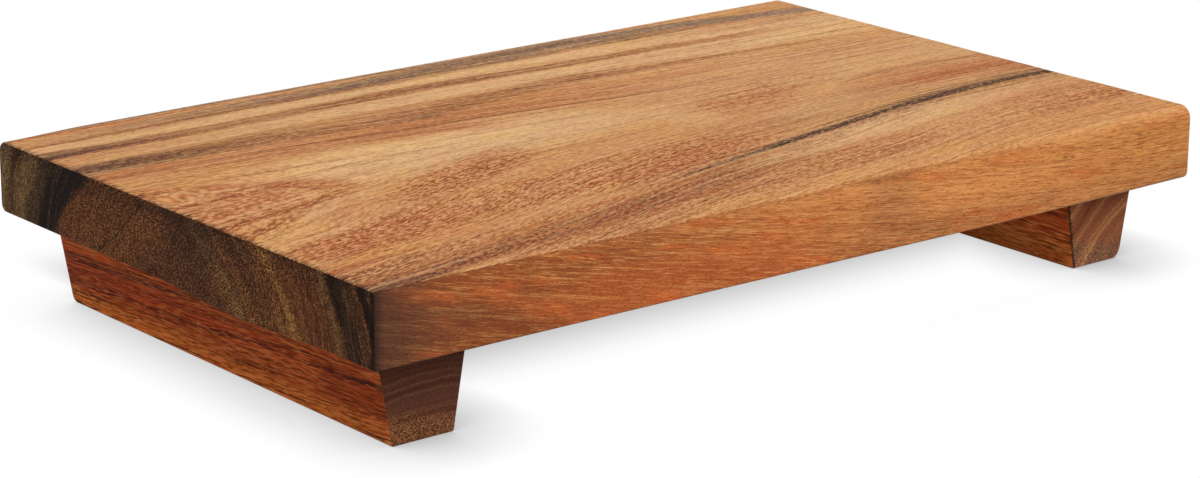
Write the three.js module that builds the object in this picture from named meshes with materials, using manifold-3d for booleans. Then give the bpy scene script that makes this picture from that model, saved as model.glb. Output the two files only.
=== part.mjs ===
// Footed serving board: one flat-sawn hardwood plank on two tapered feet that run across its grain.
// Each foot is drawn up to the plank by countersunk wood screws driven from below,
// and each screw's counterbore is closed by a turned wooden plug.
// Millimetres, +Z up, +X along the plank. The origin lies on the table, under the middle of the board.
import * as THREE from "three";
import { mergeVertices } from "three/addons/utils/BufferGeometryUtils.js";
import Module from "manifold-3d";

const wasm = await Module();
wasm.setup();

// Plank
const PLANK_LENGTH = 330;
const PLANK_WIDTH = 203;
const PLANK_THICKNESS = 23;
const PLANK_EDGE_RADIUS = 3; // rounding of the four long edges
const PLANK_END_EASE = 1.2; // easing round the two sawn ends

// Feet
const FOOT_HEIGHT = 29.5;
const FOOT_TOP_WIDTH = 32;
const FOOT_BOTTOM_WIDTH = 21.5;
const FOOT_INSET = 11; // from the plank's end to the foot's upper outer edge
const FOOT_SETBACK = 15; // from the plank's long edge to the foot's end
const FOOT_CORNER_RADIUS = 2.5; // the lower corner of each end, seen from the side
const FOOT_EDGE_RADIUS = 1; // the two lower long edges

// Screws
const SCREWS_PER_FOOT = 3;
const SCREW_END_MARGIN = 26; // from the foot's end to the outermost screw
const SCREW_DIAMETER = 4.2; // plain shank, and over the thread's crests
const SCREW_CORE_DIAMETER = 2.9; // at the thread's root
const SCREW_PITCH = 2.8;
const SCREW_SHANK_LENGTH = 10; // plain, between the head's cone and the thread
const SCREW_TIP_LENGTH = 4; // the taper to the point
const SCREW_HEAD_DIAMETER = 8;
const SCREW_HEAD_RIM = 0.4; // straight side of the head, below its cone
const SCREW_TIP_COVER = 6.5; // wood left between the screw's tip and the serving face
const DRIVE_SPAN = 4.4; // tip to tip across the cross recess
const DRIVE_SLOT = 1.1; // width of one slot of the cross
const DRIVE_DEPTH = 1.6;

// Plugs
const PLUG_DIAMETER = 9.5;
const PLUG_LENGTH = 7;
const PLUG_RECESS = 0.3; // the plug stops this far short of the foot's underside
const PLUG_CHAMFER = 0.5; // on the end that enters the hole first

// Fits
const HEAD_GAP = 0.8; // between the plug's inner end and the screw's head
const PLUG_CLEARANCE = 0.15; // on the radius
const SHANK_CLEARANCE = 0.4; // on the radius, so the plank can swell across the foot
const SEAT_CLEARANCE = 0.2; // between the head's cone and its countersink, square to the axis
const PILOT_CLEARANCE = 0.15; // on the radius, round the thread's crests
const TIP_CLEARANCE = 0.5; // beyond the screw's point
const CUT_MARGIN = 1; // how far a cutting shape runs past the face that it opens

// Facets
const ROUND_SIDES = 24;
const THREAD_SIDES = 8;
const FILLET_STEPS = 5;
const EASE_STEPS = 2;

// Derived places, heights measured from the table
const plankUnderside = FOOT_HEIGHT;
const footLength = PLANK_WIDTH - 2 * FOOT_SETBACK;
const footCentre = PLANK_LENGTH / 2 - FOOT_INSET - FOOT_TOP_WIDTH / 2;
const counterboreRadius = PLUG_DIAMETER / 2 + PLUG_CLEARANCE;
const screwHeadHeight = PLUG_RECESS + PLUG_LENGTH + HEAD_GAP;
const screwTipHeight = plankUnderside + PLANK_THICKNESS - SCREW_TIP_COVER;
const screwLength = screwTipHeight - screwHeadHeight;
const headConeHeight = (SCREW_HEAD_DIAMETER - SCREW_DIAMETER) / 2;
const screwGaps = Math.max(SCREWS_PER_FOOT - 1, 1);
const screwSpacing = (footLength - 2 * SCREW_END_MARGIN) / screwGaps;

// Materials
const plankWood = new THREE.MeshStandardMaterial({ color: 0xc08246, roughness: 0.5, metalness: 0 });
const footWood = new THREE.MeshStandardMaterial({ color: 0x8a4320, roughness: 0.5, metalness: 0 });
const plugWood = new THREE.MeshStandardMaterial({ color: 0x9a5529, roughness: 0.55, metalness: 0 });
const zincSteel = new THREE.MeshStandardMaterial({ color: 0xb9b7ae, roughness: 0.35, metalness: 1 });

// A closed geometry as a solid for joining and cutting.
function solidOf(geometry) {
  const bare = geometry.clone();
  bare.deleteAttribute("normal");
  bare.deleteAttribute("uv");
  const merged = mergeVertices(bare);
  const corners = merged.index.array;
  const triangles = [];
  for (let i = 0; i < corners.length; i += 3) {
    const [a, b, c] = corners.slice(i, i + 3);
    if (a !== b && b !== c && c !== a) triangles.push(a, b, c);
  }
  return new wasm.Manifold(
    new wasm.Mesh({
      numProp: 3,
      vertProperties: merged.attributes.position.array,
      triVerts: new Uint32Array(triangles),
    }),
  );
}

function geometryOf(solid) {
  const { vertProperties, triVerts } = solid.getMesh();
  const geometry = new THREE.BufferGeometry();
  geometry.setAttribute("position", new THREE.BufferAttribute(vertProperties, 3));
  geometry.setIndex(new THREE.BufferAttribute(triVerts, 1));
  geometry.computeVertexNormals();
  return geometry;
}

function piece(name, solid, material) {
  const mesh = new THREE.Mesh(geometryOf(solid), material);
  mesh.name = name;
  return mesh;
}

// A polygon whose corners, given anticlockwise as [x, y, radius], are rounded by arcs.
function roundedOutline(corners) {
  const shape = new THREE.Shape();
  corners.forEach(([x, y, radius], i) => {
    const corner = new THREE.Vector2(x, y);
    const [beforeX, beforeY] = corners.at(i - 1);
    const [afterX, afterY] = corners[(i + 1) % corners.length];
    const toBefore = new THREE.Vector2(beforeX, beforeY).sub(corner).normalize();
    const toAfter = new THREE.Vector2(afterX, afterY).sub(corner).normalize();
    const halfAngle = Math.acos(toBefore.dot(toAfter)) / 2;
    const start = corner.clone().addScaledVector(toBefore, radius / Math.tan(halfAngle));
    if (i === 0) shape.moveTo(start.x, start.y);
    else shape.lineTo(start.x, start.y);
    if (radius === 0) return;
    const inward = toBefore.clone().add(toAfter).normalize();
    const centre = corner.clone().addScaledVector(inward, radius / Math.sin(halfAngle));
    const turn = Math.PI - 2 * halfAngle;
    const startAngle = Math.atan2(start.y - centre.y, start.x - centre.x);
    shape.absarc(centre.x, centre.y, radius, startAngle, startAngle + turn, false);
  });
  shape.closePath();
  return shape;
}

// An outline drawn in the YZ plane and drawn out along X, centred on X.
function extrudeAlongX(outline, length, ease) {
  const geometry = new THREE.ExtrudeGeometry(outline, {
    depth: length - 2 * ease,
    curveSegments: FILLET_STEPS,
    bevelEnabled: ease > 0,
    bevelThickness: ease,
    bevelSize: ease,
    bevelOffset: -ease,
    bevelSegments: EASE_STEPS,
  });
  geometry.translate(0, 0, ease - length / 2);
  const [x, y, z] = [new THREE.Vector3(1, 0, 0), new THREE.Vector3(0, 1, 0), new THREE.Vector3(0, 0, 1)];
  return geometry.applyMatrix4(new THREE.Matrix4().makeBasis(y, z, x));
}

// An outline drawn in the XZ plane and drawn out along Y, centred on Y.
function extrudeAlongY(outline, length) {
  const geometry = new THREE.ExtrudeGeometry(outline, {
    depth: length,
    curveSegments: FILLET_STEPS,
    bevelEnabled: false,
  });
  geometry.translate(0, 0, -length / 2);
  return geometry.rotateX(Math.PI / 2);
}

// A turned solid about Z, from a profile of [radius, height] points that runs upwards from axis to axis.
function turned(profile, sides) {
  const points = profile.map(([radius, height]) => new THREE.Vector2(radius, height));
  return solidOf(new THREE.LatheGeometry(points, sides).rotateX(Math.PI / 2));
}

// The screws' places along a foot, from its front end to its back end.
function screwPlaces() {
  const middle = (SCREWS_PER_FOOT - 1) / 2;
  return Array.from({ length: SCREWS_PER_FOOT }, (_, i) => (i - middle) * screwSpacing);
}

// The stepped hole through a foot: a counterbore for the plug, a seat for the head and room for the shank.
function footHole() {
  const shankRadius = SCREW_DIAMETER / 2 + SHANK_CLEARANCE;
  const seatRadius = SCREW_HEAD_DIAMETER / 2 + SEAT_CLEARANCE;
  const seatHeight = screwHeadHeight + SCREW_HEAD_RIM;
  return turned(
    [
      [0, -CUT_MARGIN],
      [counterboreRadius, -CUT_MARGIN],
      [counterboreRadius, seatHeight],
      [seatRadius, seatHeight],
      [shankRadius, seatHeight + seatRadius - shankRadius],
      [shankRadius, FOOT_HEIGHT + CUT_MARGIN],
      [0, FOOT_HEIGHT + CUT_MARGIN],
    ],
    ROUND_SIDES,
  );
}

// The blind hole in the plank that a screw's thread goes into.
function pilotHole() {
  const radius = SCREW_DIAMETER / 2 + PILOT_CLEARANCE;
  const pointHeight = screwTipHeight + TIP_CLEARANCE;
  return turned(
    [
      [0, plankUnderside - CUT_MARGIN],
      [radius, plankUnderside - CUT_MARGIN],
      [radius, pointHeight - radius],
      [0, pointHeight],
    ],
    ROUND_SIDES,
  );
}

function plank() {
  const halfWidth = PLANK_WIDTH / 2;
  const top = plankUnderside + PLANK_THICKNESS;
  const outline = roundedOutline([
    [-halfWidth, plankUnderside, PLANK_EDGE_RADIUS],
    [halfWidth, plankUnderside, PLANK_EDGE_RADIUS],
    [halfWidth, top, PLANK_EDGE_RADIUS],
    [-halfWidth, top, PLANK_EDGE_RADIUS],
  ]);
  let solid = solidOf(extrudeAlongX(outline, PLANK_LENGTH, PLANK_END_EASE));
  for (const x of [-footCentre, footCentre]) {
    for (const y of screwPlaces()) solid = solid.subtract(pilotHole().translate([x, y, 0]));
  }
  return piece("top_plank", solid, plankWood);
}

// A foot is a tapered bar whose ends are rounded off at the table.
function footSolid() {
  const halfTop = FOOT_TOP_WIDTH / 2;
  const halfBottom = FOOT_BOTTOM_WIDTH / 2;
  const halfLength = footLength / 2;
  const section = roundedOutline([
    [-halfBottom, 0, FOOT_EDGE_RADIUS],
    [halfBottom, 0, FOOT_EDGE_RADIUS],
    [halfTop, FOOT_HEIGHT, 0],
    [-halfTop, FOOT_HEIGHT, 0],
  ]);
  const side = roundedOutline([
    [-halfLength, 0, FOOT_CORNER_RADIUS],
    [halfLength, 0, FOOT_CORNER_RADIUS],
    [halfLength, FOOT_HEIGHT, 0],
    [-halfLength, FOOT_HEIGHT, 0],
  ]);
  const widest = Math.max(FOOT_TOP_WIDTH, FOOT_BOTTOM_WIDTH) + 2 * CUT_MARGIN;
  let solid = solidOf(extrudeAlongY(section, footLength + 2 * CUT_MARGIN));
  solid = solid.intersect(solidOf(extrudeAlongX(side, widest, 0)));
  for (const y of screwPlaces()) solid = solid.subtract(footHole().translate([0, y, 0]));
  return solid;
}

// A screw's body as a grid of rings up its axis, with one thread winding round its upper end to the point.
function screwBody() {
  const headRadius = SCREW_HEAD_DIAMETER / 2;
  const shankRadius = SCREW_DIAMETER / 2;
  const coreRadius = SCREW_CORE_DIAMETER / 2;
  const shankStart = SCREW_HEAD_RIM + headConeHeight;
  const shankEnd = shankStart + SCREW_SHANK_LENGTH;
  const threadStart = shankEnd + SCREW_PITCH / 2;
  const threadLength = screwLength - SCREW_TIP_LENGTH - threadStart;
  const ringStep = SCREW_PITCH / THREAD_SIDES;
  const ringCount = Math.floor(threadLength / ringStep);
  const halfTurn = THREAD_SIDES / 2;
  const ridge = halfTurn / 2; // from the crest to the root, in rings
  const plainRing = (height, radius) => ({ height, radius: () => radius });
  const threadRing = (ring) => ({
    height: threadStart + ring * ringStep,
    radius: (side) => {
      const fromCrest = halfTurn - Math.abs(((ring + THREAD_SIDES - side) % THREAD_SIDES) - halfTurn);
      const rise = Math.max(0, 1 - fromCrest / ridge);
      return coreRadius + rise * (shankRadius - coreRadius);
    },
  });
  const rings = [
    plainRing(0, headRadius),
    plainRing(SCREW_HEAD_RIM, headRadius),
    plainRing(shankStart, shankRadius),
    plainRing(shankEnd, shankRadius),
    ...Array.from({ length: ringCount + 1 }, (_, ring) => threadRing(ring)),
  ];
  const positions = [0, 0, 0];
  for (const { height, radius } of rings) {
    for (let side = 0; side < THREAD_SIDES; side++) {
      const angle = (2 * Math.PI * side) / THREAD_SIDES;
      positions.push(radius(side) * Math.cos(angle), radius(side) * Math.sin(angle), height);
    }
  }
  positions.push(0, 0, screwLength);
  const vertex = (ring, side) => 1 + ring * THREAD_SIDES + (side % THREAD_SIDES);
  const tip = positions.length / 3 - 1;
  const lastRing = rings.length - 1;
  const faces = [];
  for (let side = 0; side < THREAD_SIDES; side++) {
    faces.push(0, vertex(0, side + 1), vertex(0, side));
    faces.push(tip, vertex(lastRing, side), vertex(lastRing, side + 1));
    for (let ring = 0; ring < lastRing; ring++) {
      const [a, b] = [vertex(ring, side), vertex(ring, side + 1)];
      const [c, d] = [vertex(ring + 1, side), vertex(ring + 1, side + 1)];
      faces.push(a, b, d, a, d, c);
    }
  }
  const geometry = new THREE.BufferGeometry();
  geometry.setAttribute("position", new THREE.Float32BufferAttribute(positions, 3));
  geometry.setIndex(faces);
  return solidOf(geometry);
}

function screwSolid() {
  const depth = 2 * DRIVE_DEPTH;
  const slot = solidOf(new THREE.BoxGeometry(DRIVE_SPAN, DRIVE_SLOT, depth));
  const crossSlot = solidOf(new THREE.BoxGeometry(DRIVE_SLOT, DRIVE_SPAN, depth));
  return screwBody().subtract(slot.add(crossSlot));
}

function plugSolid() {
  const radius = PLUG_DIAMETER / 2;
  return turned(
    [
      [0, 0],
      [radius, 0],
      [radius, PLUG_LENGTH - PLUG_CHAMFER],
      [radius - PLUG_CHAMFER, PLUG_LENGTH],
      [0, PLUG_LENGTH],
    ],
    ROUND_SIDES,
  );
}

// One foot with the screws that hold it and the plugs that hide them, about the foot's own middle.
function footAssembly(side) {
  const group = new THREE.Group();
  group.add(piece(`${side}_foot`, footSolid(), footWood));
  screwPlaces().forEach((y, i) => {
    const screw = piece(`${side}_foot_screw_${i + 1}`, screwSolid(), zincSteel);
    screw.position.set(0, y, screwHeadHeight);
    const plug = piece(`${side}_foot_plug_${i + 1}`, plugSolid(), plugWood);
    plug.position.set(0, y, PLUG_RECESS);
    group.add(screw, plug);
  });
  return group;
}

const board = new THREE.Group();
board.add(plank());
for (const [side, x] of [["left", -footCentre], ["right", footCentre]]) {
  const assembly = footAssembly(side);
  assembly.position.x = x;
  board.add(assembly);
}

export default board;
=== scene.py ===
"""Footed serving board: the looks of an oiled, streaked hardwood plank on two tapered feet."""
import math
from collections import namedtuple
from functools import partialmethod

import bmesh
import bpy
from mathutils import Matrix, Vector, noise


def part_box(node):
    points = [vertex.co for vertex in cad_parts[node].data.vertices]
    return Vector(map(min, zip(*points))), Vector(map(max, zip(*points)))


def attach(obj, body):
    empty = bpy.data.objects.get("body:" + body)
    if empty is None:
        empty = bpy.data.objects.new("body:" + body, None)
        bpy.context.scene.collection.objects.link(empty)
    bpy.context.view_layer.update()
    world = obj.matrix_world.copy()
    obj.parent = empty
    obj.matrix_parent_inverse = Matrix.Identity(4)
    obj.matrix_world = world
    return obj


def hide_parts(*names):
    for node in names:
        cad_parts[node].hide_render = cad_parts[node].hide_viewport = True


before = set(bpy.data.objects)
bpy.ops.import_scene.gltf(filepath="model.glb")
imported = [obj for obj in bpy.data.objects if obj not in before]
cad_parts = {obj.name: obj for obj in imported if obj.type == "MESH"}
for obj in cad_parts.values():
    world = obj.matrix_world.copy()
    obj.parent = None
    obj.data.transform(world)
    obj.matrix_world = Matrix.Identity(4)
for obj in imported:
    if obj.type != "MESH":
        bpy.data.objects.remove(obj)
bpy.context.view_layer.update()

# Camera, in metres, solved from the board's edges in the photograph
PHOTO_WIDTH = 1200
FOCAL_PIXELS = 3437.0
SENSOR_WIDTH = 36.0
CAMERA_AZIMUTH = math.radians(-39.13)
CAMERA_ELEVATION = math.radians(16.56)
CAMERA_ROLL = math.radians(0.26)
CAMERA_DISTANCE = 1.0709
CAMERA_TARGET = Vector((-0.02947, -0.03201, 0.0264))

# Light, and the floor that it falls on, in metres
WORLD_LIGHT = 0.39
KEY_STRENGTH = 2.9
KEY_ANGLE = math.radians(50)
KEY_DIRECTION = Vector((0.3, -0.95, 1.0))
FLOOR_SIZE = 30.0
FLOOR_REFLECTANCE = 0.5
MIRRORED_GLOW = 0.5

# From here on lengths are in millimetres, up to the point where a mesh or a shader is made
MM = 0.001

# The floor in the camera's eye: white, with a soft shade around the feet that leans to the back left, and
# a deeper one in the shelter of the plank. That one begins some way behind the plank's front edge, because
# the light comes from the front. The pairs are places where it starts and where it is whole.
CONTACT_REACH = 29.0
CONTACT_LEAN = Vector((-0.3, 0.35, 1.0))
CONTACT_SHADE = 0.765
CONTACT_SAMPLES = 32
SHELTER_FRONT = (-68.0, -10.0)
SHELTER_BACK = (150.0, 80.0)
SHELTER_ENDS = (146.0, 130.0)
SHELTER_SHADE = 0.58

# Edges of the plank: radius at the left end and at the right end
FRONT_TOP_RADIUS = (0.8, 4.0)
FRONT_BOTTOM_RADIUS = (0.5, 2.0)
BACK_TOP_RADIUS = (3.5, 0.5)
BACK_BOTTOM_RADIUS = (2.4, 1.0)
LEAST_RADIUS = 0.25
LEFT_END_EASE = 0.7
RIGHT_END_EASE = 1.7
# Part of an end's ease that the radii lose there
EASE_LOSS = 0.5
# Shares of the length: the front's lower radius changes after the first one, the back's upper radius
# before the second one
LATE_START = 0.75
EARLY_END = 0.1

# Unevenness of the plank: a belly under its left end, a droop of its lower front edge towards the right,
# and a sanding wave of its front, its back and the upper share of its thickness
BELLY_DROP = 1.8
BELLY_CENTRE = -34
BELLY_REACH = 48
BELLY_FADE = 10.5
FRONT_DROOP = 1.5
FRONT_DROOP_REACH = 11.0
SANDING_WAVE = 0.1
SANDING_LENGTHS = (40, 22, 22)
SANDED_SHARE = 0.3

# Feet: width at the table, widening to each side for each millimetre of height, and for each foot the ease
# of its front and back end and the radius of its lower left and lower right edge
FOOT_BOTTOM_WIDTH = 21.5
FOOT_SPREAD = 0.178
FootShape = namedtuple("FootShape", "front back left right")
FOOT_SHAPES = {
    "left": FootShape(0.3, 1.6, 0.5, 0.6),
    "right": FootShape(0.6, 1.6, 0.5, 3.2),
}

# Plugs: the domed face as share of the radius and height, the rounded rim as inset and height
PLUG_DOME = ((0.35, 0.0), (0.7, 0.03))
PLUG_RIM = ((0.55, 0.08), (0.2, 0.22), (0.0, 0.6))
PLUG_CHAMFER = 0.5

# Screw holes, as in the solids
PLUG_CLEARANCE = 0.15
SHANK_CLEARANCE = 0.4
SEAT_CLEARANCE = 0.2
PILOT_CLEARANCE = 0.15
TIP_CLEARANCE = 0.5
TIP_RADIUS = 0.3
SHANK_RADIUS = 2.1
SEAT_DEPTH = 2.3
BORE_PAST_HEAD = 0.4

# Fineness of the meshes: steps of roundings, sections along a piece, points on its wide and narrow sides
CORNER_STEPS = 6
EASE_STEPS = 4
SUPPORT_MARGIN = 0.35
PLANK_STATIONS = 56
PLANK_SIDE_POINTS = (26, 4)
FOOT_STATIONS = 20
FOOT_SIDE_POINTS = (8, 6)
HOLE_SIDES = 48
CUT_MARGIN = 1.0
SLIVER = 0.01
QUAD = 4
SHARP_ANGLE = math.radians(38)

# How far towards an end of its piece a face has to point to show end grain
LEFT_END_FACING = -0.8
RIGHT_END_FACING = 0.6
FOOT_END_FACING = 0.6


def srgb(red, green, blue):
    """A colour written as 0 to 255 display values."""
    return tuple((value / 255) ** 2.2 for value in (red, green, blue)) + (1.0,)


TONES = {
    "honey": srgb(207, 149, 97), "straw": srgb(220, 167, 112), "pale": srgb(228, 184, 134),
    "amber": srgb(213, 150, 92), "orange": srgb(211, 146, 91), "russet": srgb(184, 108, 63),
    "red": srgb(178, 92, 50), "brown": srgb(142, 85, 51), "maroon": srgb(108, 61, 41),
    "umber": srgb(104, 66, 45), "ink": srgb(94, 61, 49), "grey": srgb(132, 100, 78),
    "slate": srgb(118, 106, 97), "vein": srgb(66, 44, 35),
}
SIDE_TONES = {
    "red": srgb(142, 74, 38), "orange": srgb(206, 132, 75), "amber": srgb(184, 117, 61),
    "ember": srgb(188, 94, 48), "blaze": srgb(204, 100, 51), "tan": srgb(212, 154, 92),
    # the last two tones here are painted shade at the front's left end; the first of them also colours the
    # knot
    "bark": srgb(116, 68, 40), "shade_knot_brown": srgb(70, 46, 37), "corner_shade": srgb(44, 32, 27),
}
END_TONES = {
    "olive": srgb(120, 97, 67), "tan": srgb(154, 112, 68), "red": srgb(112, 72, 48),
    "brown": srgb(113, 75, 50), "dark": srgb(76, 52, 39), "black": srgb(36, 28, 24),
}
FOOT_TONES = {
    "flame": srgb(218, 98, 44), "red": srgb(196, 88, 42), "gold": srgb(226, 126, 60),
    # the last tone but one here is painted shade for the sides that face the key light
    "wheat": srgb(240, 146, 78), "dark": srgb(78, 34, 20), "outer_shade": srgb(128, 74, 47),
    "black": srgb(40, 26, 20),
}
FOOT_END_TAN = srgb(176, 122, 76)
PLUG_TONES = {"light": srgb(178, 108, 64), "dark": srgb(128, 74, 46)}
STEEL_TONES = (srgb(176, 176, 168), srgb(196, 194, 184))

# Tints that multiply a colour
GOLDEN = (1.03, 1.02, 0.90, 1.0)
ROSY = (1.0, 0.93, 0.95, 1.0)
RUDDY = (1.0, 0.80, 0.86, 1.0)
BRIGHTER = (1.25, 1.22, 1.18, 1.0)
GLINTING = (1.55, 1.7, 1.5, 1.0)
# painted light for the side of a foot under the plank
PAINTED_LIGHT_TINT = (1.55, 1.9, 2.5, 1.0)
PALER_LOW = (1.9, 1.9, 1.9, 1.0)
GRITTY = (2.5, 2.35, 1.95, 1.0)
DIMMED = (0.80, 0.80, 0.85, 1.0)
# painted shade for the rounded long edges of the plank
EDGE_SHADE = (0.72, 0.70, 0.68, 1.0)
DARKER = (0.60, 0.47, 0.38, 1.0)
PITTED = (0.45, 0.36, 0.3, 1.0)
DARKEST = (0.42, 0.30, 0.23, 1.0)

# Satin of oiled wood: height of its relief, lowest and highest roughness, level of its sheen
Satin = namedtuple("Satin", "relief smoothest roughest sheen")
PLANK_SATIN = Satin(0.09, 0.50, 0.62, 0.1)
END_SATIN = Satin(0.12, 0.55, 0.70, 0.05)
FOOT_SATIN = Satin(0.08, 0.50, 0.62, 0.05)
FOOT_END_SATIN = Satin(0.1, 0.55, 0.70, 0.05)
PLUG_SATIN = Satin(0.06, 0.50, 0.62, 0.15)
STEEL_ROUGHNESS = (0.26, 0.42)

# Grain: sizes of its cells along three directions, a shift along the first one that sets it apart, detail
# and roughness of its noise, and for grain that sways something, how far
Grain = namedtuple("Grain", "sizes shift detail roughness reach", defaults=(0.0, 2.0, 0.5, 1.0))
TOP_WAVE = Grain((55, 16, 16), 3.0, 1.0, reach=4.0)
TOP_FEATHER = Grain((16, 2.0, 2.0), 11.0, reach=3.0)
TOP_STRAND = Grain((90, 1.1, 1.1), 15.0, 3.0, 0.65)
TOP_ZIGZAG = Grain((2.2, 1.4, 1.4), 17.0, 1.0, reach=0.5)
TOP_DASH = Grain((2.2, 0.62, 0.62), 21.0, roughness=0.6)
TOP_CLUMP = Grain((1.9, 0.95, 0.95), 23.0, 1.0)
TOP_TINT = Grain((30, 8, 8), 27.0)
TOP_FIBRE = Grain((5, 0.45, 0.45), 61.0, roughness=0.6)
TOP_PORE = Grain((3.0, 0.4, 0.4), 71.0, 1.0)
TOP_TOOTH = Grain((6.0, 0.8, 0.8), 91.0, roughness=0.7)
CATHEDRAL_ARCS = Grain((2.4, 40, 1), 0.0, 3.0, 0.6)
SIDE_EMBER = Grain((22, 5.0, 5.0), 35.0)
SIDE_BAND = Grain((70, 1.3, 1.3), 37.0, 3.0, 0.6)
SIDE_FLECK = Grain((6.5, 0.3, 0.3), 41.0, 3.0, 0.75)
END_DRIFT = Grain((30, 12, 12), reach=8.0)
END_GRIT = Grain((4, 1.2, 1.2), roughness=0.6, reach=4.0)
END_RINGS = Grain((1.2, 60, 1), 0.0, 3.0, 0.65)
END_SPECK = Grain((3, 0.9, 0.6), 9.0, 3.0, 0.75)
END_PATCH = Grain((30, 12, 8), 5.0)
END_CLOT = Grain((8, 2.6, 1.8), 3.0, roughness=0.6)
END_PORE = Grain((3, 0.5, 0.5), 0.0, 1.0)
FOOT_WAVE = Grain((70, 14, 14), 0.0, 1.0, reach=3.0)
FOOT_STRAND = Grain((45, 1.2, 1.2), 5.0, reach=2.4)
FOOT_LINES = Grain((0.8, 60, 1), 0.0, 3.0, 0.65)
FOOT_FIBRE = Grain((6.0, 0.42, 0.42), 9.0, roughness=0.6)
FOOT_PORE = Grain((4.5, 0.45, 0.45), 13.0, 1.0)
FOOT_END_DRIFT = Grain((12, 30, 12), reach=3.0)
FOOT_END_SPECK = Grain((0.6, 3, 0.5), roughness=0.6)
PLUG_FIBRE = Grain((9, 0.7, 0.7), 4.0, 3.0, 0.6)
PLUG_PORE = Grain((3.5, 0.45, 0.45), 8.0, 1.0)
STEEL_CLOUD = Grain((3, 3, 3), 0.0, 3.0)
STEEL_SCRATCH = Grain((0.15, 0.15, 2))

# Parts of a noise: where nearly all of it lies, what shows as pores, and what leaves gaps in a figure
NOISE_SPREAD = (0.3, 0.7)
PORES = (0.60, 0.70)
GAPS = (0.38, 0.58)

# Drift of the top's grain across the plank, at the front and at the back: share of the length and, as a
# share of the span, place
FLOW_SPAN = 100
FRONT_FLOW = ((0.0, 0.15), (0.2, 0.30), (0.42, 0.51), (0.64, 0.63), (0.84, 0.755), (1.0, 0.765))
BACK_FLOW = ((0.0, 0.63), (0.2, 0.595), (0.5, 0.48), (0.68, 0.415), (1.0, 0.385))

# Growth rings that come to a point at the left end of the top: the point of the outer and of the inner
# one along the plank, the line across the plank that they point along, and how each side opens
CATHEDRAL_TIPS = (-102.0, -118.0)
CATHEDRAL_LINE = -8.5
CATHEDRAL_BACK = (20.0, 60.0)
CATHEDRAL_FRONT = (8.0, 14.9)

# Torn fibres along the left end's upper edge: how unequal they are, and how much of that stays off the top
TORN_REACH = 11
TORN_OFF = 4.4

# Patches: the middle, where the patch ends and where it is whole, to both sides
Patch = namedtuple("Patch", "centre reach core")
FRONT_BLAZE = Patch(-50, 62, 30)
FRONT_DARK_PATCH = Patch(28, 16, 4)
FRONT_DULL = Patch(-118, 26, 10)
END_OPEN = Patch(10, 85, 45)
END_GLINT = Patch(-50, 24, 8)
END_DEEP = Patch(-10, 18, 6)
END_SHALLOW = Patch(42, 22, 8)
FOOT_DUSK = Patch(13.5, 7.5, 4.5)
FOOT_RUDDY = Patch(11.5, 7.5, 4.5)

# Small knot in the front, along the plank and up, and how much it is drawn out along the grain
PIN_KNOT = (105.0, 45.0)
PIN_KNOT_STRETCH = 0.6

# Long sides: how far their tones lean along the plank with depth, and the rise and bend of their grain
SIDE_SLOPE = 4.0
SIDE_RISE = 0.16
SIDE_BEND = 0.00033

# Heart of the tree, across and up, from which the rings on the plank's ends spread. Nearer to it than the
# calm distance their bands no longer lean over.
PITH = (1.5, 11.0)
RING_CALM = 18.0
RING_LEAN = 1.25

# Figure of the plank's top, as strokes along the grain. Each point is a place along the plank, a place
# across it, the stroke's half width there and its strength there. Plain and crisp strokes are whole,
# and crisp ones have the smoother edge. Mottled, dotted and streaked ones are broken up by the grain.
WIDEST_STROKE = 25.0
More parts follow.
